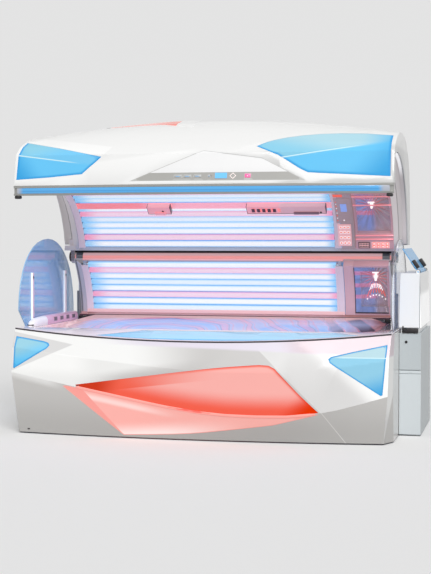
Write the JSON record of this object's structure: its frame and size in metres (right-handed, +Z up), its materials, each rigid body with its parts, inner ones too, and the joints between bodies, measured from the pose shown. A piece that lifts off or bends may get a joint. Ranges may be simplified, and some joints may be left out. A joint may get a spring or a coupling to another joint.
{
  "type": "clamshell tanning bed",
  "caption": "Clamshell tanning bed: faceted base with moulded lying sheet and rear lamp wall, swinging lamp canopy with front control keys, end fins and a service cabinet with tower.",
  "frame": {"origin": "middle of the footprint, on the floor", "axes": "+X along the bed towards the head end, +Y to the back, +Z up"},
  "size_m": [2.5362, 1.341, 1.998],
  "materials": {
    "white_gloss": "gloss",
    "deck_gloss": "gloss",
    "red_lens": "gloss",
    "pink_lens": "gloss",
    "blue_lens": "gloss",
    "clear_acrylic": "gloss",
    "blue_acrylic": "gloss",
    "lamps": "satin",
    "reflector": "polished",
    "frame_metal": "satin",
    "rose_metal": "satin",
    "bare_aluminium": "satin",
    "tanner_housing": "satin",
    "rose_plastic": "satin",
    "dark_plastic": "satin",
    "actuator_metal": "satin",
    "rod_steel": "polished",
    "cabinet_grey": "satin",
    "unit_grey": "matte",
    "fascia_grey": "satin",
    "start_pink": "gloss"
  },
  "bodies": {
    "base": {"base_frame": "frame_metal", "base_front_cover": "white_gloss", "base_lens_upper": "red_lens", "base_lens_lower": "pink_lens", "base_lens_left": "blue_lens", "base_lens_right": "blue_lens", "base_end_left": "white_gloss", "base_end_right": "white_gloss", "base_rear_cover": "white_gloss", "bench_rim": "deck_gloss", "bench_window": "blue_lens", "lying_acrylic": "clear_acrylic", "bench_lamp_tray": "lamps", "wall_lamp_bank": "lamps", "wall_reflector": "reflector", "wall_acrylic": "clear_acrylic", "wall_frame": "rose_metal", "shoulder_tanner": "tanner_housing", "hinge_rail": "rose_metal", "fin_left": "blue_acrylic", "fin_right": "blue_acrylic", "foot_air_pod": "deck_gloss", "ballast_bank": "frame_metal", "fan_housing": "dark_plastic", "lift_body_left": "actuator_metal", "lift_body_right": "actuator_metal", "cabinet_body": "cabinet_grey", "cooling_unit": "unit_grey", "fragrance_canister": "unit_grey", "tower_hood": "white_gloss"},
    "canopy": {"canopy_frame": "rose_metal", "canopy_shell": "white_gloss", "canopy_lens_left": "blue_lens", "canopy_lens_right": "blue_lens", "control_fascia": "fascia_grey", "canopy_accent": "red_lens", "light_profile": "bare_aluminium", "light_lens": "blue_lens", "canopy_lamp_bank": "lamps", "canopy_reflector": "reflector", "canopy_acrylic": "clear_acrylic", "console": "tanner_housing", "face_tanner": "tanner_housing", "air_nozzle_left": "rose_plastic", "air_nozzle_right": "rose_plastic"},
    "fan_rotor": {"fan_rotor": "dark_plastic"},
    "lift_rod_left": {"lift_rod_left": "rod_steel"},
    "lift_rod_right": {"lift_rod_right": "rod_steel"},
    "cabinet_lower_door": {"cabinet_lower_door": "cabinet_grey"},
    "cabinet_upper_door": {"cabinet_upper_door": "cabinet_grey"},
    "door_lock": {"door_lock": "actuator_metal"},
    "tower_lid": {"tower_lid": "blue_acrylic"},
    "key_left": {"key_left": "fascia_grey"},
    "key_middle": {"key_middle": "fascia_grey"},
    "key_right": {"key_right": "fascia_grey"},
    "key_round": {"key_round": "fascia_grey"},
    "key_start": {"key_start": "start_pink"},
    "console_key": {"console_key": "fascia_grey"},
    "nozzle_flap_left": {"nozzle_flap_left": "dark_plastic"},
    "nozzle_flap_right": {"nozzle_flap_right": "dark_plastic"}
  },
  "joints": [
    {"name": "canopy_lift", "type": "hinge", "parent": "base", "child": "canopy", "pos_m": [0, 0.4295, 1.102], "axis": [1, 0, 0], "range_deg": [0, 36]},
    {"name": "lift_rod_left_slide", "type": "slide", "parent": "base", "child": "lift_rod_left", "axis": [0, 0, 1], "range_m": [0, 0.0712]},
    {"name": "lift_rod_right_slide", "type": "slide", "parent": "base", "child": "lift_rod_right", "axis": [0, 0, 1], "range_m": [0, 0.0712]},
    {"name": "cabinet_lower_door_hinge", "type": "hinge", "parent": "base", "child": "cabinet_lower_door", "pos_m": [1.26615, -0.1108, 0.3], "axis": [0, 0, 1], "range_deg": [0, 100]},
    {"name": "cabinet_upper_door_hinge", "type": "hinge", "parent": "base", "child": "cabinet_upper_door", "pos_m": [1.26615, -0.1108, 0.3], "axis": [0, 0, 1], "range_deg": [0, 100]},
    {"name": "door_lock_turn", "type": "hinge", "parent": "cabinet_upper_door", "child": "door_lock", "pos_m": [1.17615, -0.1108, 0.586], "axis": [0, -1, 0], "range_deg": [0, 90]},
    {"name": "tower_lid_hinge", "type": "hinge", "parent": "base", "child": "tower_lid", "pos_m": [1.24215, 0.2295, 1.021], "axis": [0, 1, 0], "range_deg": [0, 70]},
    {"name": "fan_spin", "type": "hinge", "parent": "base", "child": "fan_rotor", "pos_m": [0.45185, 0.0895, 0.15], "axis": [0, 0, 1], "continuous": true},
    {"name": "key_left_press", "type": "slide", "parent": "canopy", "child": "key_left", "axis": [0, 0.9776, -0.2106], "range_m": [0, 0.0015], "stiffness_N_per_m": 600},
    {"name": "key_middle_press", "type": "slide", "parent": "canopy", "child": "key_middle", "axis": [0, 0.9776, -0.2106], "range_m": [0, 0.0015], "stiffness_N_per_m": 600},
    {"name": "key_right_press", "type": "slide", "parent": "canopy", "child": "key_right", "axis": [0, 0.9776, -0.2106], "range_m": [0, 0.0015], "stiffness_N_per_m": 600},
    {"name": "key_round_press", "type": "slide", "parent": "canopy", "child": "key_round", "axis": [0, 0.9776, -0.2106], "range_m": [0, 0.0015], "stiffness_N_per_m": 600},
    {"name": "key_start_press", "type": "slide", "parent": "canopy", "child": "key_start", "axis": [0, 0.9776, -0.2106], "range_m": [0, 0.0015], "stiffness_N_per_m": 600},
    {"name": "console_key_press", "type": "slide", "parent": "canopy", "child": "console_key", "axis": [0, 0.719, 0.695], "range_m": [0, 0.0015], "stiffness_N_per_m": 600},
    {"name": "nozzle_flap_left_turn", "type": "hinge", "parent": "canopy", "child": "nozzle_flap_left", "pos_m": [-0.44215, 0.09671, 1.39541], "axis": [0, 0.6344, 0.773], "range_deg": [-25, 25]},
    {"name": "nozzle_flap_right_turn", "type": "hinge", "parent": "canopy", "child": "nozzle_flap_right", "pos_m": [0.58185, 0.09671, 1.39541], "axis": [0, 0.6344, 0.773], "range_deg": [-25, 25]}
  ],
  "couplings": [
    {"joint": "lift_rod_left_slide", "follows": "canopy_lift", "m_per_rad": 0.11312},
    {"joint": "lift_rod_right_slide", "follows": "canopy_lift", "m_per_rad": 0.11312}
  ]
}
